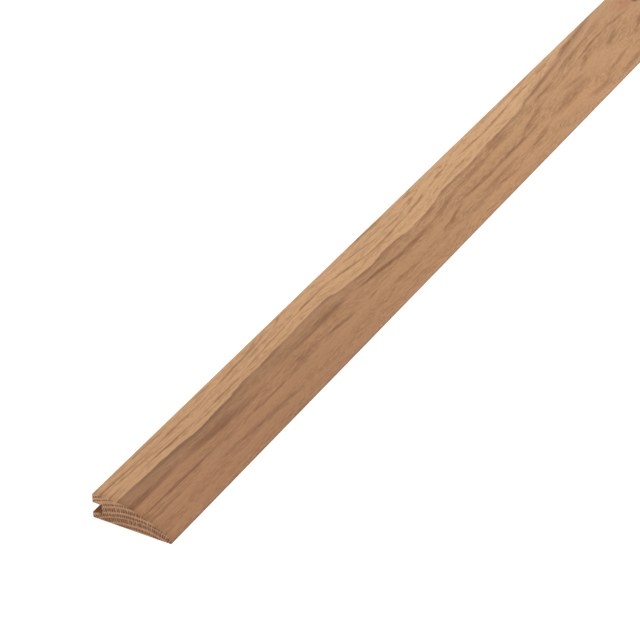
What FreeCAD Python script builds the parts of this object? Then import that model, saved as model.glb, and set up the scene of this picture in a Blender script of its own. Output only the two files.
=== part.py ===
import FreeCAD, Part
import math
import os
import Sketcher

# A flush reducer: a hardwood threshold strip milled from one board.
#
# Millimetres, +Z up. The origin is the middle of the underside. The strip runs along Y. Its
# grooved edge faces -X and takes the tongue of the floor plank beside it, and its thin nose
# faces +X and comes down to the lower floor. The section, seen along +Y:
#
#      land   crown
#     _______---___
#    |__           ---___       upper lip
#     __|                --__   groove
#    |_______________________|  lower lip at the left, nose at the right

INCH = 25.4
SHEET = "Dimensions"
STRIP = "reducer_strip"

DIMENSIONS = {
    "strip_length": 36.0 * INCH,
    "strip_width": 39.5,
    "strip_height": 1.0 / 2.0 * INCH,
    "land_width": 6.0,
    "nose_height": 1.9,
    "upper_lip": 3.0 / 16.0 * INCH,
    "lower_lip": 1.0 / 8.0 * INCH,
    "groove_depth": 3.0 / 16.0 * INCH,
    "eased_radius": 0.4,
    "nose_radius": 0.6,
}

# Sketcher's numbers for the ends of a line or arc, and for the sketch's own origin point.
START = 1
END = 2
ORIGIN = (-1, 1)

POSITION_TOLERANCE = 1e-4
VOLUME_TOLERANCE = 1e-6


def add_sheet(document):
    """The driving dimensions, one aliased cell each."""
    sheet = document.addObject("Spreadsheet::Sheet", SHEET)
    for row, (alias, value) in enumerate(DIMENSIONS.items(), start=1):
        sheet.set(f"A{row}", alias)
        sheet.set(f"B{row}", f"{value:.4f}")
        sheet.setAlias(f"B{row}", alias)
    document.recompute()
    return sheet


def add_section(body, name):
    """An empty sketch across the strip: sketch x is X, and sketch y is Z."""
    plane = next(item for item in body.Origin.OriginFeatures if item.Role == "XZ_Plane")
    sketch = body.newObject("Sketcher::SketchObject", name)
    sketch.AttachmentSupport = [(plane, "")]
    sketch.MapMode = "FlatFace"
    return sketch


def relate(sketch, kind, *where):
    """A geometric constraint."""
    sketch.addConstraint(Sketcher.Constraint(kind, *where))


def drive(sketch, name, kind, first, second, formula, value):
    """A dimension between two points, bound to a formula of the sheet's cells."""
    index = sketch.addConstraint(Sketcher.Constraint(kind, *first, *second, value))
    sketch.renameConstraint(index, name)
    sketch.setExpression(f"Constraints.{name}", formula)


def check_sketch(sketch):
    """A sketch has to solve and leave nothing free."""
    if sketch.solve() != 0 or not sketch.FullyConstrained:
        raise RuntimeError(f"{sketch.Name} is not fully constrained")


def draw_blank(body, sheet):
    """The outline of the strip before it is grooved: underside, nose, crown, land and edge."""
    right = sheet.strip_width / 2.0
    top = sheet.strip_height
    land_end = sheet.land_width - right
    run = right - land_end
    fall = top - sheet.nose_height
    radius = (run**2 + fall**2) / (2.0 * fall)
    nose_angle = math.acos(run / radius)

    def point(x, z):
        return FreeCAD.Vector(x, z, 0.0)

    sketch = add_section(body, "blank_section")
    underside = sketch.addGeometry(Part.LineSegment(point(-right, 0.0), point(right, 0.0)))
    nose = sketch.addGeometry(
        Part.LineSegment(point(right, 0.0), point(right, sheet.nose_height))
    )
    circle = Part.Circle(point(land_end, top - radius), FreeCAD.Vector(0, 0, 1), radius)
    crown = sketch.addGeometry(Part.ArcOfCircle(circle, nose_angle, math.pi / 2.0))
    land = sketch.addGeometry(Part.LineSegment(point(land_end, top), point(-right, top)))
    edge = sketch.addGeometry(Part.LineSegment(point(-right, top), point(-right, 0.0)))

    relate(sketch, "Coincident", underside, END, nose, START)
    relate(sketch, "Coincident", nose, END, crown, START)
    relate(sketch, "Tangent", crown, END, land, START)
    relate(sketch, "Coincident", land, END, edge, START)
    relate(sketch, "Coincident", edge, END, underside, START)
    relate(sketch, "Horizontal", underside)
    relate(sketch, "Horizontal", land)
    relate(sketch, "Vertical", nose)
    relate(sketch, "Vertical", edge)
    relate(sketch, "Symmetric", underside, START, underside, END, *ORIGIN)

    drive(sketch, "width", "DistanceX", (underside, START), (underside, END),
          f"{SHEET}.strip_width", 2.0 * right)
    drive(sketch, "height", "DistanceY", (edge, END), (edge, START),
          f"{SHEET}.strip_height", top)
    drive(sketch, "nose", "DistanceY", (nose, START), (nose, END),
          f"{SHEET}.nose_height", sheet.nose_height)
    drive(sketch, "land", "DistanceX", (land, END), (land, START),
          f"{SHEET}.land_width", sheet.land_width)
    check_sketch(sketch)
    return sketch


def draw_groove(body, sheet):
    """The square groove between the two lips, open at the strip's edge."""
    left = -sheet.strip_width / 2.0
    back = left + sheet.groove_depth
    low = sheet.lower_lip
    high = sheet.strip_height - sheet.upper_lip
    corners = [(left, low), (back, low), (back, high), (left, high)]

    sketch = add_section(body, "groove_section")
    sides = []
    for here, after in zip(corners, corners[1:] + corners[:1]):
        line = Part.LineSegment(FreeCAD.Vector(*here, 0.0), FreeCAD.Vector(*after, 0.0))
        sides.append(sketch.addGeometry(line))
    floor, back_wall, roof, mouth = sides

    for side, following in zip(sides, sides[1:] + sides[:1]):
        relate(sketch, "Coincident", side, END, following, START)
    relate(sketch, "Horizontal", floor)
    relate(sketch, "Horizontal", roof)
    relate(sketch, "Vertical", back_wall)
    relate(sketch, "Vertical", mouth)

    drive(sketch, "from_middle", "DistanceX", (floor, START), ORIGIN,
          f"{SHEET}.strip_width / 2", -left)
    drive(sketch, "from_underside", "DistanceY", ORIGIN, (floor, START),
          f"{SHEET}.lower_lip", low)
    drive(sketch, "depth", "DistanceX", (floor, START), (floor, END),
          f"{SHEET}.groove_depth", back - left)
    drive(sketch, "opening", "DistanceY", (back_wall, START), (back_wall, END),
          f"{SHEET}.strip_height - {SHEET}.upper_lip - {SHEET}.lower_lip", high - low)
    check_sketch(sketch)
    return sketch


def long_edges(shape, corners):
    """Names of the edges that run along Y through the given (x, z) corners of the section."""
    names = []
    for x, z in corners:
        found = []
        for index, edge in enumerate(shape.Edges, start=1):
            ends = [vertex.Point for vertex in edge.Vertexes]
            at_corner = all(math.hypot(end.x - x, end.z - z) < POSITION_TOLERANCE for end in ends)
            if at_corner:
                found.append(f"Edge{index}")
        if len(found) != 1:
            raise RuntimeError(f"{len(found)} edges at x={x:.2f}, z={z:.2f}")
        names.extend(found)
    return names


def ease(body, name, base, corners, radius_cell):
    """Rounds the long edges at the given corners of the section."""
    fillet = body.newObject("PartDesign::Fillet", name)
    fillet.Base = (base, long_edges(base.Shape, corners))
    fillet.setExpression("Radius", f"{SHEET}.{radius_cell}")
    body.Document.recompute()
    return fillet


def build_strip(document, sheet):
    """The strip: a moulded blank, grooved along one edge, with its arrises eased."""
    body = document.addObject("PartDesign::Body", STRIP)
    body.Label = STRIP
    body.Placement = FreeCAD.Placement()

    blank = body.newObject("PartDesign::Pad", "moulded_blank")
    blank.Profile = draw_blank(body, sheet)
    blank.SideType = "Symmetric"
    blank.setExpression("Length", f"{SHEET}.strip_length")
    document.recompute()

    groove = body.newObject("PartDesign::Pocket", "tongue_groove")
    groove.Profile = draw_groove(body, sheet)
    groove.Type = "ThroughAll"
    groove.SideType = "Symmetric"
    document.recompute()
    opening = sheet.strip_height - sheet.upper_lip - sheet.lower_lip
    expected = opening * sheet.groove_depth * sheet.strip_length
    removed = blank.Shape.Volume - groove.Shape.Volume
    if abs(removed - expected) > VOLUME_TOLERANCE * expected:
        raise RuntimeError(f"the groove removed {removed:.1f} mm3, not {expected:.1f} mm3")

    side = sheet.strip_width / 2.0
    edge_corners = [
        (-side, sheet.strip_height),
        (-side, sheet.strip_height - sheet.upper_lip),
        (-side, sheet.lower_lip),
        (-side, 0.0),
    ]
    eased = ease(body, "eased_grooved_edge", groove, edge_corners, "eased_radius")
    ease(body, "eased_nose", eased, [(side, sheet.nose_height)], "nose_radius")
    return body


def check_document(document, bodies):
    """Stops before anything is written if a feature failed or a solid is not sound."""
    for item in document.Objects:
        if {"Invalid", "Error"} & set(item.State):
            raise RuntimeError(f"{item.Name} failed: {item.State}")
    for body in bodies:
        if body.Shape.isNull() or not body.Shape.isValid():
            raise RuntimeError(f"{body.Label} has no valid shape")


def main():
    document = FreeCAD.newDocument("flush_reducer")
    sheet = add_sheet(document)
    bodies = [build_strip(document, sheet)]
    document.recompute()
    check_document(document, bodies)

    os.makedirs("parts", exist_ok=True)
    for body in bodies:
        body.Shape.exportStep(f"parts/{body.Label}.step")
        box = body.Shape.BoundBox
        size = f"{box.XLength:.2f} x {box.YLength:.2f} x {box.ZLength:.2f} mm"
        print(f"{body.Label}: {size}, {body.Shape.Volume:.0f} mm3, {len(body.Shape.Solids)} solid")


main()
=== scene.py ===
import math

import bmesh
import bpy
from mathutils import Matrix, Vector


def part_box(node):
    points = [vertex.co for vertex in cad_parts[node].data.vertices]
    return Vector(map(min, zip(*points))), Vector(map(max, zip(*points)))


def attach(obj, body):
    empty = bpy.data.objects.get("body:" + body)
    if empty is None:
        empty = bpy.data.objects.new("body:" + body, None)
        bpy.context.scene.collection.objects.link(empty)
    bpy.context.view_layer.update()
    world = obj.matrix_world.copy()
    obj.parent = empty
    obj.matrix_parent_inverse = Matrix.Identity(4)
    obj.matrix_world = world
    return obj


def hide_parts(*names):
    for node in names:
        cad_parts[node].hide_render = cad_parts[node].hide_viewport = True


# A hardwood flush reducer, prefinished on top and raw where it was milled and sawn.
# Metres, +Z up: the strip runs along Y, its grooved edge faces -X and its nose faces +X.

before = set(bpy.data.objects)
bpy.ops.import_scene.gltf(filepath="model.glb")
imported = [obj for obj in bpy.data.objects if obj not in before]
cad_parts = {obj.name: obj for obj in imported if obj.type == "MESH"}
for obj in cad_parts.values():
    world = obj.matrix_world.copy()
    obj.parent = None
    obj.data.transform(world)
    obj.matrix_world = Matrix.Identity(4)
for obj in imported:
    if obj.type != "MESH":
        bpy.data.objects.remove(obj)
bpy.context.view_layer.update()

NODE = "reducer_strip"
MM = 0.001

# ---------------------------------------------------------------- sizes, from the frame

LOW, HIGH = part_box(NODE)
WIDTH = HIGH.x - LOW.x
LENGTH = HIGH.y - LOW.y
HEIGHT = HIGH.z - LOW.z
LEFT, RIGHT = LOW.x, HIGH.x
NEAR, FAR = LOW.y, HIGH.y
FLOOR_Z, TOP_Z = LOW.z, HIGH.z

EIGHTH_INCH = HEIGHT / 4.0
UPPER_LIP = 1.5 * EIGHTH_INCH
LOWER_LIP = EIGHTH_INCH
GROOVE_DEPTH = 1.5 * EIGHTH_INCH
LAND = 6.0 * MM
NOSE = 1.9 * MM
EASED_RADIUS = 0.4 * MM
NOSE_RADIUS = 0.6 * MM

CROWN_RUN = WIDTH - LAND
CROWN_FALL = HEIGHT - NOSE
CROWN_RADIUS = (CROWN_RUN**2 + CROWN_FALL**2) / (2.0 * CROWN_FALL)
CROWN_X = LEFT + LAND
CROWN_Z = TOP_Z - CROWN_RADIUS

# ---------------------------------------------------------------- the section

FILLET_STEPS = 6
CROWN_STEPS = 56
FLAT_STEP = 1.5 * MM


def arc(centre_x, centre_z, radius, first, last, steps):
    """Points on an arc, from one angle to another, both in degrees."""
    points = []
    for step in range(steps + 1):
        angle = math.radians(first + (last - first) * step / steps)
        points.append((centre_x + radius * math.cos(angle), centre_z + radius * math.sin(angle)))
    return points


def straight(start, end):
    """Points strictly between two ends, evenly spaced and about FLAT_STEP apart."""
    length = math.dist(start, end)
    count = max(1, round(length / FLAT_STEP))
    return [
        tuple(a + (b - a) * step / count for a, b in zip(start, end))
        for step in range(1, count)
    ]


def section():
    """The strip's outline as runs of (x, z) points, each run named for the surface it belongs to.
    It goes round anticlockwise from the grooved edge's lower corner, seen along +Y."""
    ease = EASED_RADIUS
    groove_low = FLOOR_Z + LOWER_LIP
    groove_high = TOP_Z - UPPER_LIP
    groove_back = LEFT + GROOVE_DEPTH

    nose_x = RIGHT - NOSE_RADIUS
    reach = CROWN_RADIUS - NOSE_RADIUS
    nose_z = CROWN_Z + math.sqrt(reach**2 - (nose_x - CROWN_X) ** 2)
    nose_angle = math.degrees(math.atan2(nose_z - CROWN_Z, nose_x - CROWN_X))

    corner_low = arc(LEFT + ease, FLOOR_Z + ease, ease, 180.0, 270.0, FILLET_STEPS)
    corner_top = arc(LEFT + ease, TOP_Z - ease, ease, 90.0, 180.0, FILLET_STEPS)
    lip_high = arc(LEFT + ease, groove_high + ease, ease, 180.0, 270.0, FILLET_STEPS)
    lip_low = arc(LEFT + ease, groove_low - ease, ease, 90.0, 180.0, FILLET_STEPS)
    nose_turn = arc(nose_x, nose_z, NOSE_RADIUS, 0.0, nose_angle, FILLET_STEPS)
    crown = arc(CROWN_X, CROWN_Z, CROWN_RADIUS, nose_angle, 90.0, CROWN_STEPS)

    underside_end = (RIGHT, FLOOR_Z)
    back_high = (groove_back, groove_high)
    back_low = (groove_back, groove_low)

    under = corner_low + straight(corner_low[-1], underside_end) + [underside_end]
    nose = [underside_end] + straight(underside_end, nose_turn[0]) + [nose_turn[0]]
    top = nose_turn + crown[1:] + straight(crown[-1], corner_top[0]) + corner_top
    edge = [corner_top[-1]] + straight(corner_top[-1], lip_high[0]) + lip_high
    groove = [lip_high[-1]] + straight(lip_high[-1], back_high) + [back_high]
    groove += straight(back_high, back_low) + [back_low]
    groove += straight(back_low, lip_low[0]) + lip_low
    lip = [lip_low[-1]] + straight(lip_low[-1], corner_low[0]) + [corner_low[0]]
    return [("under", under), ("nose", nose), ("top", top), ("edge", edge),
            ("groove", groove), ("lip", lip)]


# ---------------------------------------------------------------- the strip's mesh

STATIONS = 152
FINISHED, NOSED, MILLED, GROOVED, SAWN = range(5)
SURFACE_OF_RUN = {"under": MILLED, "nose": NOSED, "top": FINISHED,
                  "edge": MILLED, "groove": GROOVED, "lip": MILLED}

# The bake's page, in its own units: the strip lies along it in rows, the top folded into two,
# and both sawn ends side by side above them.
PAGE = 1024.0
PAGE_GAP = 8.0
PAGE_SPAN = PAGE - 2.0 * PAGE_GAP
BAND_OF_RUN = {"under": "under", "nose": "top", "top": "top",
               "edge": "grooved", "groove": "grooved", "lip": "grooved"}
PAGE_ROWS = [("top", 0, STATIONS // 2, 300.0), ("top", STATIONS // 2, STATIONS, 300.0),
             ("grooved", 0, STATIONS, 80.0), ("under", 0, STATIONS, 130.0)]
END_SCALE = 10.0 / MM


def outline_edges():
    """The section's points, and for the edge leaving each one its surface, its band of the page
    and how far round that band it starts and ends."""
    outline, surfaces, bands, starts = [], [], [], []
    length = {}
    for name, run in section():
        band = BAND_OF_RUN[name]
        for point, after in zip(run, run[1:]):
            start = length.get(band, 0.0)
            outline.append(point)
            surfaces.append(SURFACE_OF_RUN[name])
            bands.append(band)
            starts.append((start, start + math.dist(point, after)))
            length[band] = starts[-1][1]
    spans = [(low / length[band], high / length[band]) for band, (low, high) in zip(bands, starts)]
    return outline, surfaces, bands, spans


def page_row(band, station):
    """The row of the page that holds a band from this station on: stations, height, and foot."""
    foot = PAGE_GAP
    for name, first, last, height in PAGE_ROWS:
        if name == band and first <= station < last:
            return first, last, height, foot
        foot += height + PAGE_GAP
    raise ValueError(band)


def build_strip():
    """The strip as one closed mesh: its section carried along Y, and a face at each sawn end."""
    outline, surfaces, bands, spans = outline_edges()
    mesh = bmesh.new()
    page = mesh.loops.layers.uv.new("OFBake")
    rings = []
    for station in range(STATIONS + 1):
        y = NEAR + LENGTH * station / STATIONS
        rings.append([mesh.verts.new((x, y, z)) for x, z in outline])

    for station, (near, far) in enumerate(zip(rings, rings[1:])):
        for index, surface in enumerate(surfaces):
            after = (index + 1) % len(outline)
            face = mesh.faces.new((near[index], near[after], far[after], far[index]))
            face.material_index = surface
            face.smooth = True
            first, last, height, foot = page_row(bands[index], station)
            left = PAGE_GAP + PAGE_SPAN * (station - first) / (last - first)
            right = PAGE_GAP + PAGE_SPAN * (station + 1 - first) / (last - first)
            low = foot + height * spans[index][0]
            high = foot + height * spans[index][1]
            corners = ((left, low), (left, high), (right, high), (right, low))
            for loop, (across, up) in zip(face.loops, corners):
                loop[page].uv = (across / PAGE, up / PAGE)

    foot = PAGE_GAP + sum(height + PAGE_GAP for _, _, _, height in PAGE_ROWS)
    for number, ring in enumerate((rings[0], rings[-1])):
        end = mesh.faces.new(ring)
        end.material_index = SAWN
        left = PAGE_GAP + number * (WIDTH * END_SCALE + PAGE_GAP)
        for loop in end.loops:
            across = left + (loop.vert.co.x - LEFT) * END_SCALE
            up = foot + (loop.vert.co.z - FLOOR_Z) * END_SCALE
            loop[page].uv = (across / PAGE, up / PAGE)
    bmesh.ops.recalc_face_normals(mesh, faces=mesh.faces)

    data = bpy.data.meshes.new("strip_board")
    mesh.to_mesh(data)
    mesh.free()
    strip = bpy.data.objects.new("strip_board", data)
    bpy.context.collection.objects.link(strip)
    return strip


# ---------------------------------------------------------------- shader arithmetic

class Field:
    """A number at each point of a surface: a shader socket that works in plain arithmetic."""

    def __init__(self, graph, socket):
        self.graph = graph
        self.socket = socket

    def __add__(self, other):
        return self.graph.math("ADD", self, other)

    def __radd__(self, other):
        return self.graph.math("ADD", other, self)

    def __sub__(self, other):
        return self.graph.math("SUBTRACT", self, other)

    def __rsub__(self, other):
        return self.graph.math("SUBTRACT", other, self)

    def __mul__(self, other):
        return self.graph.math("MULTIPLY", self, other)

    def __truediv__(self, other):
        return self.graph.math("DIVIDE", self, other)

    def __pow__(self, exponent):
        return self.graph.math("POWER", self.graph.math("ABSOLUTE", self), exponent)


class Graph:
    """Adds nodes to a node tree."""

    def __init__(self, tree):
        self.tree = tree

    def node(self, kind, **settings):
        node = self.tree.nodes.new(kind)
        for name, value in settings.items():
            setattr(node, name, value)
        return node

    def feed(self, socket, value):
        """Links a field or socket into a socket, or sets its plain value."""
        if isinstance(value, Field):
            value = value.socket
        if isinstance(value, bpy.types.NodeSocket):
            self.tree.links.new(value, socket)
        else:
            socket.default_value = value

    def math(self, operation, *values):
        node = self.node("ShaderNodeMath", operation=operation)
        for socket, value in zip(node.inputs, values):
            self.feed(socket, value)
        return Field(self, node.outputs[0])

    def smooth(self, value, low, high):
        """0 at low, 1 at high and a smooth step between. low may be the greater."""
        node = self.node("ShaderNodeMapRange", interpolation_type="SMOOTHSTEP")
        flipped = low > high
        self.feed(node.inputs["Value"], value)
        self.feed(node.inputs["From Min"], min(low, high))
        self.feed(node.inputs["From Max"], max(low, high))
        self.feed(node.inputs["To Min"], 1.0 if flipped else 0.0)
        self.feed(node.inputs["To Max"], 0.0 if flipped else 1.0)
        return Field(self, node.outputs["Result"])

    def join(self, x, y, z):
        node = self.node("ShaderNodeCombineXYZ")
        for socket, value in zip(node.inputs, (x, y, z)):
            self.feed(socket, value)
        return node.outputs[0]

    def scaled(self, place, size):
        """A place measured in units of a size, which has one length for each direction."""
        return self.join(*(length / unit for length, unit in zip(place, size)))

    def noise(self, place, size, detail=2.0, roughness=0.5):
        """Smooth noise about 0, mostly within half a unit, with features about as big as size."""
        node = self.node("ShaderNodeTexNoise", noise_dimensions="3D")
        self.feed(node.inputs["Vector"], self.scaled(place, size))
        self.feed(node.inputs["Scale"], 1.0)
        self.feed(node.inputs["Detail"], detail)
        self.feed(node.inputs["Roughness"], roughness)
        return Field(self, node.outputs["Fac"]) - 0.5

    def cells(self, place, size):
        """Distance to the nearest of scattered points, about one to each box of that size."""
        node = self.node("ShaderNodeTexVoronoi", voronoi_dimensions="3D", feature="F1")
        self.feed(node.inputs["Vector"], self.scaled(place, size))
        self.feed(node.inputs["Scale"], 1.0)
        return Field(self, node.outputs["Distance"])

    def curve(self, value, points):
        """A smooth curve through (input, output) points, both in millimetres."""
        inputs = [point[0] for point in points]
        outputs = [point[1] for point in points]
        low_in, span_in = min(inputs), max(inputs) - min(inputs)
        low_out, span_out = min(outputs), max(outputs) - min(outputs)
        node = self.node("ShaderNodeFloatCurve")
        line = node.mapping.curves[0]
        places = [((a - low_in) / span_in, (b - low_out) / span_out) for a, b in points]
        line.points[0].location = places[0]
        line.points[-1].location = places[-1]
        for place in places[1:-1]:
            line.points.new(*place)
        node.mapping.update()
        self.feed(node.inputs["Value"], (value - low_in) / span_in)
        return Field(self, node.outputs["Value"]) * span_out + low_out

    def mix(self, factor, first, second, blend="MIX"):
        """A colour: first where factor is 0, second where it is 1."""
        node = self.node("ShaderNodeMix", data_type="RGBA", blend_type=blend)
        self.feed(node.inputs["Factor"], factor)
        self.feed(node.inputs["A"], first)
        self.feed(node.inputs["B"], second)
        return node.outputs["Result"]


def colour(red, green, blue):
    """A display colour, 0 to 255 a channel, as the linear RGBA that shaders use."""
    def linear(value):
        value /= 255.0
        return value / 12.92 if value <= 0.04045 else ((value + 0.055) / 1.055) ** 2.4
    return (linear(red), linear(green), linear(blue), 1.0)


# ---------------------------------------------------------------- the board the strip is cut from
#
# All in millimetres: across from the grooved edge, along from the near end, up from the
# underside. The growth rings are arcs about a pith below the board, and the sawn ends show them
# as arches. Along the board they shift across with the edge of the sapwood, from the place they
# have where that edge is at USUAL_EDGE. Bearings about the pith are arc lengths at
# BEARING_RADIUS, and the rays lie RAY_SPACING apart round it.

PITH_ACROSS = 24.0
PITH_UP = -36.0
HEART_RADIUS = 49.5
HEART_RING = 2.6
HEART_RING_OFFSET = -0.12
SAP_RING = 1.75
THICK_RING_RADIUS = 41.2
USUAL_EDGE = 13.0
BEARING_RADIUS = 44.5
RAY_SPACING = 1.15

# Where the sapwood gives way to heartwood on the top: (along, across).
SAPWOOD_EDGE = [
    (0, 12.1), (25, 12.9), (50, 13.8), (66, 14.5), (90, 14.2), (130, 13.5), (150, 13.3),
    (178, 12.5), (190, 14.0), (202, 15.9), (225, 16.7), (240, 16.3), (264, 17.9), (285, 17.4),
    (305, 15.0), (325, 15.2), (350, 14.3), (390, 13.8), (405, 11.5), (430, 9.3), (450, 7.0),
    (475, 3.8), (505, 0.6), (540, -2.5), (620, -4.0), (700, -1.0), (760, 3.0), (810, 4.2),
    (860, 7.5), (914.4, 8.2),
]

# Dark streaks on the top: (along, across) of each end, half thickness, and strength.
SAP_STREAKS = [
    (-25, 2.6, 45, 5.6, 0.55, 0.6), (38, 5.3, 90, 5.9, 0.55, 0.6),
    (80, 6.0, 152, 2.6, 0.55, 0.55), (5, 5.4, 56, 9.0, 0.45, 0.5),
    (-14, 8.4, 13, 8.9, 0.55, 0.6), (20, 9.2, 68, 11.0, 0.55, 0.6),
    (66, 11.0, 112, 10.4, 0.5, 0.55), (104, 10.2, 168, 7.3, 0.55, 0.55),
    (22, 1.7, 62, 2.3, 0.45, 0.4), (74, 1.3, 100, 2.0, 0.5, 0.4),
    (110, 7.0, 152, 5.2, 0.4, 0.4), (148, 4.4, 164, 0.6, 0.7, 0.5),
    (160, 7.6, 196, 6.5, 0.55, 0.6), (192, 6.6, 234, 12.5, 0.6, 0.6),
    (224, 12.3, 270, 11.4, 0.55, 0.6), (264, 11.6, 302, 8.4, 0.55, 0.55),
    (212, 4.2, 246, 9.0, 0.5, 0.45), (246, 8.2, 274, 8.6, 0.6, 0.5),
    (268, 8.6, 294, 4.6, 0.6, 0.45), (226, 0.6, 268, 1.6, 0.7, 0.5),
    (278, 1.4, 294, 3.4, 0.8, 0.5), (300, 8.8, 330, 4.6, 0.6, 0.5),
    (318, 12.2, 340, 11.0, 0.6, 0.5), (334, 6.8, 366, 8.2, 0.6, 0.55),
    (358, 8.2, 402, 6.0, 0.6, 0.55), (396, 6.0, 436, 5.0, 0.6, 0.5),
    (428, 5.2, 466, 2.2, 0.7, 0.55), (380, 2.6, 450, 0.6, 0.6, 0.4),
]
HEART_STREAKS = [
    (-40, 18.6, 46, 20.3, 1.5, 0.62), (36, 20.0, 108, 22.3, 1.8, 0.58),
    (115, 20.2, 195, 19.6, 1.2, 0.42), (160, 20.0, 192, 20.6, 2.0, 0.3),
    (-20, 25.0, 78, 26.7, 0.6, 0.5), (84, 26.9, 128, 27.9, 0.6, 0.5),
    (-10, 29.2, 38, 29.6, 0.5, 0.4), (48, 31.0, 128, 34.2, 0.8, 0.35),
    (124, 27.5, 160, 23.8, 1.6, 0.3), (152, 25.2, 192, 28.6, 0.6, 0.5),
    (198, 28.5, 210, 27.8, 0.5, 0.4), (196, 20.3, 246, 24.4, 0.9, 0.75),
    (235, 24.3, 282, 23.4, 1.2, 0.55), (275, 23.8, 310, 20.0, 1.1, 0.5),
    (216, 31.2, 246, 32.4, 0.6, 0.4), (270, 31.4, 302, 26.6, 1.0, 0.5),
    (298, 26.2, 345, 27.0, 0.9, 0.45), (330, 27.0, 395, 26.4, 0.9, 0.5),
    (372, 25.0, 418, 19.0, 1.1, 0.45), (300, 20.8, 352, 19.4, 1.4, 0.4),
    (347, 17.4, 374, 16.6, 2.8, 0.4), (312, 31.4, 365, 30.6, 0.9, 0.4),
    (365, 33.0, 405, 29.8, 1.1, 0.4), (400, 29.9, 456, 26.4, 2.1, 0.36),
    (404, 16.2, 438, 15.4, 0.6, 0.45), (400, 12.5, 455, 8.6, 1.7, 0.3),
    (440, 9.0, 512, 1.4, 2.3, 0.34), (434, 14.4, 486, 9.6, 1.2, 0.36),
    (466, 12.0, 524, 6.0, 1.5, 0.3), (466, 16.2, 502, 14.0, 0.8, 0.5),
    (498, 14.0, 530, 15.6, 0.8, 0.5), (484, 23.0, 512, 18.8, 1.1, 0.36),
    (428, 23.0, 456, 24.8, 1.0, 0.4), (450, 23.0, 482, 16.5, 1.0, 0.35),
    (436, 35.0, 470, 36.8, 1.3, 0.36), (462, 34.0, 505, 30.6, 0.9, 0.4),
    (476, 38.0, 512, 36.8, 1.1, 0.45), (330, 33.2, 354, 35.2, 0.6, 0.4),
    (508, 29.0, 545, 22.0, 1.1, 0.5),
]

# Each streak is drawn as an ellipse somewhat longer and thicker than that, because its rim fades
# away, and is warped this far along and across. Thin ones lie scattered between them, and the
# grain breaks up both kinds.
STREAK_HALF_LENGTH = 0.58
STREAK_THICKENED = 1.5
STREAK_WARP_ALONG = 12.0
STREAK_WARP_ACROSS = 2.0
PLACED_STRENGTH = 1.35
SCATTERED_STRENGTH = 0.3
GRAIN_IN_STREAKS = 1.8

# Knots: place across and along the board, half size across and along, how strongly the grain
# parts round it, and how dark its heart is. The large one has a redder patch round it.
KNOTS = [
    (14.4, 545.5, 2.7, 5.0, 2.0, 0.9),
    (9.4, 535.6, 0.9, 1.8, 0.5, 0.35),
    (4.5, 320.0, 0.9, 2.4, 1.0, 0.35),
]
KNOT_REACH = 0.35
RED_PATCH = (11.0, 536.0, 6.0, 15.0)
FOLD_ALONG = 552.0

# Where along the board the wood turns paler, the heartwood evens out and the edge between it and
# the sapwood blurs: from, and complete by.
WOOD_PALER = (40.0, 440.0)
HEART_EVENED = (50.0, 190.0)
EDGE_BLURRED = (350.0, 460.0)

# How far in from that edge the heartwood stays darker, and where its darkest band fades out.
DARK_EDGE = (0.0, 8.0)
DARK_BAND = (2.3, 0.9)

# The rings wander this far from true arcs, broadly and in small steps, and this share of each
# one's width is porous early wood, more or less.
RING_WANDER = 1.2
RING_RAGGED = 0.6
RING_SHARE = 0.68

# How large the marks of each kind are, each way.
RING_WANDER_SIZE = (12.0, 70.0, 12.0)
RING_RAGGED_SIZE = (2.0, 12.0, 2.0)
RING_UNEVEN_SIZE = (1.9, 1.0, 400.0)
RING_SHARE_SIZE = (2.4, 1.0, 300.0)
RAY_WARP_SIZE = (1.6, 30.0, 4.0)
PORE_SIZE = (0.5, 7.0, 0.6)
FINE_PORE_SIZE = (0.35, 5.0, 0.35)
FIBRE_SIZE = (0.2, 18.0, 0.2)
FLECK_SIZE = (0.5, 14.0, 0.5)
RAGGED_SIZE = (2.0, 14.0, 4.0)
CLOUD_SIZE = (7.0, 45.0, 7.0)
BROAD_CLOUD_SIZE = (16.0, 150.0, 16.0)
EDGE_PATCH_SIZE = (22.0, 30.0, 1.0)
THIN_STREAK_SIZE = (0.9, 70.0, 2.0)
GRAIN_SIZE = (0.45, 16.0, 0.6)

# The broad clouds are moved across by this much, and the thin streaks and the grain bend with
# this share of the sapwood's edge.
BROAD_CLOUD_SHIFT = 112.0
FOLLOWS_EDGE = 0.8

# How much each one lightens or darkens the wood.
SHADES = {"fibre": 0.2, "fleck": 0.28, "broad_cloud": 0.1, "cloud": 0.16}

# The wood's colours near and far along the board and on its ends, and tints that darken them.
SAP_NEAR = colour(184, 140, 97)
SAP_FAR = colour(195, 151, 105)
HEART_EDGE = colour(144, 102, 66)
HEART_NEAR = colour(157, 112, 75)
HEART_FAR = colour(179, 134, 91)
PORE_DARK = colour(92, 58, 34)
KNOT_DARK = colour(104, 58, 24)
END_GROUND = colour(164, 121, 88)
END_RAY = colour(178, 135, 100)
END_PORE = colour(102, 68, 44)
STREAK_TINT = (0.55, 0.43, 0.29, 1.0)
BAND_TINT = (0.68, 0.59, 0.52, 1.0)
RED_TINT = (0.94, 0.83, 0.80, 1.0)


def board_place(g):
    """Millimetres across, along and up the board."""
    place = g.node("ShaderNodeSeparateXYZ")
    g.feed(place.inputs[0], g.node("ShaderNodeTexCoord").outputs["Object"])
    x, y, z = (Field(g, socket) for socket in place.outputs)
    return (x - LEFT) / MM, (y - NEAR) / MM, (z - FLOOR_Z) / MM


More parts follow.
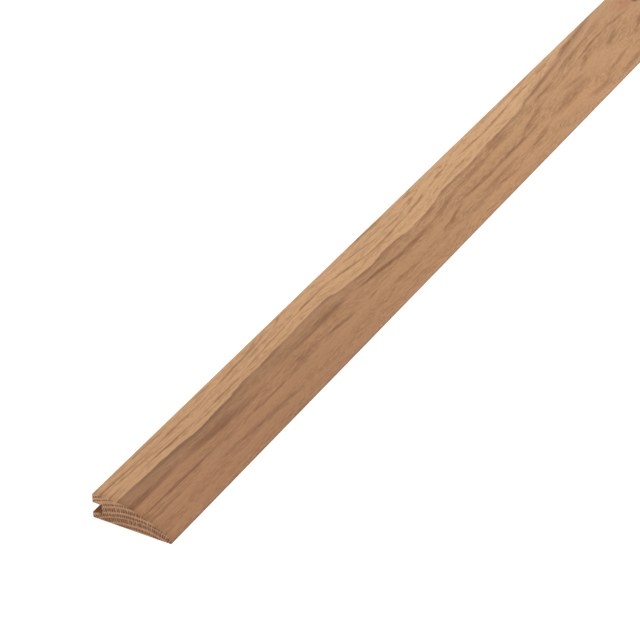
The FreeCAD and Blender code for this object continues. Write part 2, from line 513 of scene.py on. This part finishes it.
def knot_fields(g, across, along):
    """How far the knots push the grain aside, and how much of each point is knot and is red."""
    def distance(middle_across, middle_along, half_across, half_along):
        """The square of the distance from an ellipse's middle: 1 on the ellipse itself."""
        sideways = (across - middle_across) / half_across
        lengthways = (along - middle_along) / half_along
        return sideways**2 + lengthways**2

    push, core = 0.0, 0.0
    for *ellipse, strength, darkness in KNOTS:
        far = distance(*ellipse)
        push = g.math("EXPONENT", far * -KNOT_REACH) * (across - ellipse[0]) * strength + push
        core = g.smooth(far, 0.9, 0.1) * darkness + core
    return push, core, g.smooth(distance(*RED_PATCH), 1.0, 0.1)


def ring_fields(g, across, along, up, shift):
    """Distance from the pith and bearing about it, as the rings wander."""
    place = (across, along, up)
    wander = g.noise(place, RING_WANDER_SIZE)
    ragged = g.noise(place, RING_RAGGED_SIZE, detail=3.0, roughness=0.6)
    ring_across = across - shift - PITH_ACROSS
    ring_up = up - PITH_UP
    from_pith = g.math("SQRT", ring_across**2 + ring_up**2)
    radius = from_pith + wander * RING_WANDER + ragged * RING_RAGGED
    bearing = g.math("ARCTAN2", ring_across, ring_up) * BEARING_RADIUS
    return radius, bearing


def early_wood(g, radius, along):
    """The porous band of each ring: 1 where it is fullest. Rings are narrow in the sapwood."""
    outside = g.math("MAXIMUM", radius - HEART_RADIUS, 0.0)
    inside = g.math("MAXIMUM", HEART_RADIUS - radius, 0.0)
    uneven = g.noise((radius, 3.0, along), RING_UNEVEN_SIZE, detail=0.0)
    ring = outside / SAP_RING - inside / HEART_RING + uneven * 0.6 + HEART_RING_OFFSET
    phase = g.math("FRACT", ring)
    thick = g.smooth(g.math("ABSOLUTE", radius - THICK_RING_RADIUS), 1.6, 0.6)
    varied = g.noise((radius, 11.0, along), RING_SHARE_SIZE, detail=0.0)
    share = varied * 0.7 + thick * 0.3 + RING_SHARE
    return g.smooth(phase / share, 1.0, 0.45) * g.smooth(phase, 0.0, 0.08)


def fold_far_part(g, along, across):
    """Turns the board beyond the large knot back on itself, side for side, so that the streaks
    placed on the near part serve it too."""
    beyond = g.math("GREATER_THAN", along, FOLD_ALONG)
    folded_along = FOLD_ALONG - g.math("ABSOLUTE", along - FOLD_ALONG)
    folded_across = across + beyond * (WIDTH / MM - across * 2.0)
    return folded_along, folded_across


def streak_field(g, along, across, streaks):
    """The streaks' strength at each point: each one is a long thin ellipse with soft sides."""
    point = g.join(along, across, 0.0)
    total = 0.0
    for start_along, start_across, end_along, end_across, half_thickness, strength in streaks:
        run = end_along - start_along
        rise = end_across - start_across
        local = g.node("ShaderNodeMapping", vector_type="TEXTURE")
        g.feed(local.inputs["Vector"], point)
        middle = (start_along + run / 2.0, start_across + rise / 2.0, 0.0)
        g.feed(local.inputs["Location"], middle)
        g.feed(local.inputs["Rotation"], (0.0, 0.0, math.atan2(rise, run)))
        half_length = math.hypot(run, rise) * STREAK_HALF_LENGTH
        g.feed(local.inputs["Scale"], (half_length, half_thickness * STREAK_THICKENED, 1.0))
        distance = g.node("ShaderNodeVectorMath", operation="LENGTH")
        g.feed(distance.inputs[0], local.outputs[0])
        total = g.smooth(Field(g, distance.outputs["Value"]), 1.0, 0.25) * strength + total
    return total


def finished_colour(g, fields):
    """The top's colour: pale sapwood beside darker heartwood, with dark streaks in both."""
    across, along, inside = fields["across"], fields["along"], fields["inside"]
    cloud, ragged = fields["cloud"], fields["ragged"]

    paler = g.smooth(along + cloud * 60.0, *WOOD_PALER)
    evened = g.smooth(along, *HEART_EVENED) * 0.75
    lighter = g.math("MAXIMUM", g.smooth(inside, *DARK_EDGE), evened)
    near = g.mix(lighter, HEART_EDGE, HEART_NEAR)
    heart = g.mix(paler, near, HEART_FAR)
    band = g.smooth(inside, *DARK_BAND) * g.smooth(fields["edge_patch"], -0.30, 0.10)
    heart = g.mix(band * 0.9, heart, BAND_TINT, blend="MULTIPLY")
    sap = g.mix(paler, SAP_NEAR, SAP_FAR)
    edge_blur = g.smooth(along, *EDGE_BLURRED) * 0.9 + 0.25
    sapwood = g.smooth(inside / edge_blur, 1.0, -1.0)
    ground = g.mix(sapwood, heart, sap)

    warped_across = across + ragged * STREAK_WARP_ACROSS
    warped_along = along + cloud * 10.0 + ragged * STREAK_WARP_ALONG
    folded_along, folded_across = fold_far_part(g, warped_along, warped_across)
    placed = streak_field(g, folded_along, folded_across, SAP_STREAKS + HEART_STREAKS)
    scattered = g.smooth(fields["thin_streak"] + cloud * 0.3, 0.02, 0.24)
    streaks = placed * PLACED_STRENGTH + scattered * SCATTERED_STRENGTH
    broken = streaks * (1.0 + fields["grain"] * GRAIN_IN_STREAKS)
    return g.mix(g.math("MINIMUM", broken, 1.0), ground, STREAK_TINT, blend="MULTIPLY")


def milled_colour(g, fields):
    """The colour of the other surfaces along the grain, where the rings show as bands."""
    ground = g.mix(fields["sapwood"], HEART_NEAR, SAP_NEAR)
    rings = fields["early"] * (1.0 - fields["ray"] * 0.5) * 0.45
    bands = rings + g.smooth(fields["thin_streak"], 0.08, 0.3) * 0.35
    return g.mix(bands, ground, STREAK_TINT, blend="MULTIPLY")


def end_colour(g, fields):
    """The wood's colour where it is sawn across: open pores in columns between pale rays."""
    ray, large_pores = fields["ray"], fields["large_pores"]
    end = g.mix(fields["sapwood"] * 0.5, END_GROUND, SAP_NEAR)
    end = g.mix(ray * 0.6, end, END_RAY)
    rows = fields["early"] * (1.0 - ray * 0.75)
    open_pores = g.math("MINIMUM", rows * 0.95 + large_pores * (1.0 - ray) * 0.3, 1.0)
    end = g.mix(open_pores, end, END_PORE)
    return g.mix(fields["fine_pores"] * 0.3, end, END_PORE)


def board_fields(g, across, along, up, edge):
    """Everything about the wood at each point that its colours are made of."""
    radius, bearing = ring_fields(g, across, along, up, edge - USUAL_EDGE)
    place = (across, along, up)
    ring_place = (bearing, along, radius)
    flowing_place = (across - edge * FOLLOWS_EDGE, along, up)
    cloud_place = (across + BROAD_CLOUD_SHIFT, along, up)
    ray_warp = g.noise(ring_place, RAY_WARP_SIZE)
    column = g.math("SINE", (bearing / RAY_SPACING + ray_warp * 1.6) * math.tau)
    ragged = g.noise(place, RAGGED_SIZE, detail=3.0, roughness=0.6)
    cloud = g.noise(place, CLOUD_SIZE)
    return {
        "along": along,
        "inside": across - edge + ragged * 2.0 + cloud * 2.0,
        "sapwood": g.smooth(radius, HEART_RADIUS - 0.15, HEART_RADIUS + 0.15),
        "early": early_wood(g, radius, along),
        "ray": g.smooth(column, 0.0, 0.8),
        "large_pores": g.smooth(g.cells(ring_place, PORE_SIZE), 0.62, 0.40),
        "fine_pores": g.smooth(g.cells(ring_place, FINE_PORE_SIZE), 0.34, 0.20),
        "fibre": g.noise(ring_place, FIBRE_SIZE),
        "fleck": g.noise(ring_place, FLECK_SIZE, roughness=0.6),
        "ragged": ragged,
        "cloud": cloud,
        "broad_cloud": g.noise(cloud_place, BROAD_CLOUD_SIZE, detail=1.0),
        "edge_patch": g.noise((along, across, 5.0), EDGE_PATCH_SIZE),
        "thin_streak": g.noise(flowing_place, THIN_STREAK_SIZE, detail=3.0, roughness=0.55),
        "grain": g.noise(flowing_place, GRAIN_SIZE, roughness=0.6),
    }


def board_group():
    """A node group with the wood's colours and relief at any point of the board."""
    tree = bpy.data.node_groups.new("board_wood", "ShaderNodeTree")
    for name, kind in (("Finished", "NodeSocketColor"), ("Milled", "NodeSocketColor"),
                       ("End", "NodeSocketColor"), ("Relief", "NodeSocketFloat"),
                       ("Pores", "NodeSocketFloat")):
        tree.interface.new_socket(name, in_out="OUTPUT", socket_type=kind)
    g = Graph(tree)
    across, along, up = board_place(g)
    push, knot, red = knot_fields(g, across, along)
    fields = board_fields(g, across, along, up, g.curve(along, SAPWOOD_EDGE))
    fields["across"] = across - push

    shade = 1.0
    for name, amount in SHADES.items():
        shade = fields[name] * amount + shade
    tint = g.join(shade, shade, shade)
    early_pores = fields["large_pores"] * fields["early"]
    pores = early_pores * 0.2 + fields["fine_pores"] * 0.3

    out = g.node("NodeGroupOutput")
    for name, ground in (("Finished", finished_colour(g, fields)),
                         ("Milled", milled_colour(g, fields))):
        face = g.mix(pores, ground, PORE_DARK)
        face = g.mix(red, face, RED_TINT, blend="MULTIPLY")
        face = g.mix(knot, face, KNOT_DARK)
        g.feed(out.inputs[name], g.mix(1.0, face, tint, blend="MULTIPLY"))
    g.feed(out.inputs["End"], g.mix(1.0, end_colour(g, fields), tint, blend="MULTIPLY"))
    g.feed(out.inputs["Relief"], fields["fibre"] * 0.4 - early_pores - fields["fine_pores"] * 0.4)
    g.feed(out.inputs["Pores"], early_pores)
    return tree


# ---------------------------------------------------------------- surfaces

# Painted shade: this tint darkens the groove's wood all over, standing in for the shade inside the
# recess.
GROOVE_PAINTED_SHADE = (0.72, 0.6, 0.48, 1.0)
# Painted shade: this tint darkens the nose's narrow upright face as if it stood in shade.
NOSE_PAINTED_SHADE = (0.82, 0.77, 0.71, 1.0)


def wood_material(name, group, face, depth, roughness, coat=0.0, tint=None):
    """The board's wood under one kind of surface. depth is the relief's, in metres."""
    material = bpy.data.materials.new(name)
    material.use_nodes = True
    tree = material.node_tree
    g = Graph(tree)
    shader = tree.nodes["Principled BSDF"]
    board = g.node("ShaderNodeGroup", node_tree=group)
    ground = board.outputs[face]
    if tint:
        ground = g.mix(1.0, ground, tint, blend="MULTIPLY")
    g.feed(shader.inputs["Base Color"], ground)
    bump = g.node("ShaderNodeBump")
    bump.inputs["Strength"].default_value = 1.0
    bump.inputs["Distance"].default_value = depth
    g.feed(bump.inputs["Height"], board.outputs["Relief"])
    g.feed(shader.inputs["Normal"], bump.outputs["Normal"])
    g.feed(shader.inputs["Roughness"], Field(g, board.outputs["Pores"]) * 0.2 + roughness)
    shader.inputs["Specular IOR Level"].default_value = 0.35
    shader.inputs["Coat Weight"].default_value = coat
    shader.inputs["Coat Roughness"].default_value = 0.35
    return material


strip = build_strip()
wood = board_group()

# In the order of the surfaces' numbers: finished, nosed, milled, grooved, sawn.
for surface in (
    wood_material("satin_finish", wood, "Finished", depth=0.04 * MM, roughness=0.5, coat=0.1),
    # The nose is rougher and uncoated, and its tint is painted shade.
    wood_material("nose_finish_and_painted_shade", wood, "Finished", depth=0.04 * MM, roughness=0.65,
                  tint=NOSE_PAINTED_SHADE),
    wood_material("milled_wood", wood, "Milled", depth=0.08 * MM, roughness=0.7),
    # The groove's wood is darkened by its tint, which is painted shade.
    wood_material("groove_wood_painted_shade", wood, "Milled", depth=0.08 * MM, roughness=0.75,
                  tint=GROOVE_PAINTED_SHADE),
    wood_material("sawn_wood", wood, "End", depth=0.12 * MM, roughness=0.75),
):
    strip.data.materials.append(surface)
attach(strip, "root")
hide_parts(NODE)

# ---------------------------------------------------------------- floor, light and camera

CAMERA_FROM_CORNER = Vector((0.54359, -0.77556, 0.72285))
CAMERA_DOWN = math.radians(33.40)
CAMERA_LEFT = math.radians(29.10)
LENS = 154.46
SENSOR = 36.0

FLOOR_HALF_SIZE = 4.0
FLOOR_GLOW = 0.4
LIGHT_HEIGHT = 2.2
LIGHT_SIZE = 2.4
LIGHT_POWER = 9.8


def build_floor():
    mesh = bmesh.new()
    bmesh.ops.create_grid(mesh, x_segments=1, y_segments=1, size=FLOOR_HALF_SIZE)
    data = bpy.data.meshes.new("floor")
    mesh.to_mesh(data)
    mesh.free()
    floor = bpy.data.objects.new("floor", data)
    floor.location.z = FLOOR_Z
    bpy.context.collection.objects.link(floor)
    material = bpy.data.materials.new("pale_floor")
    material.use_nodes = True
    shader = material.node_tree.nodes["Principled BSDF"]
    shader.inputs["Base Color"].default_value = (0.95, 0.95, 0.95, 1.0)
    shader.inputs["Roughness"].default_value = 0.9
    shader.inputs["Specular IOR Level"].default_value = 0.2
    shader.inputs["Emission Color"].default_value = (1.0, 1.0, 1.0, 1.0)
    shader.inputs["Emission Strength"].default_value = FLOOR_GLOW
    data.materials.append(material)


def build_light():
    world = bpy.data.worlds.new("studio")
    world.use_nodes = True
    background = world.node_tree.nodes["Background"]
    background.inputs["Color"].default_value = (1.0, 1.0, 1.0, 1.0)
    background.inputs["Strength"].default_value = 1.0
    bpy.context.scene.world = world
    data = bpy.data.lights.new("overhead", "AREA")
    data.shape = "SQUARE"
    data.size = LIGHT_SIZE
    data.energy = LIGHT_POWER
    light = bpy.data.objects.new("overhead", data)
    light.location.z = LIGHT_HEIGHT
    light.visible_camera = False
    bpy.context.collection.objects.link(light)


def build_camera():
    data = bpy.data.cameras.new("camera")
    data.sensor_width = SENSOR
    data.lens = LENS
    camera = bpy.data.objects.new("camera", data)
    camera.location = Vector((LEFT, NEAR, FLOOR_Z)) + CAMERA_FROM_CORNER
    camera.rotation_euler = (math.pi / 2.0 - CAMERA_DOWN, 0.0, CAMERA_LEFT)
    bpy.context.collection.objects.link(camera)
    bpy.context.scene.camera = camera


build_floor()
build_light()
build_camera()
bpy.context.scene.view_settings.view_transform = "Standard"
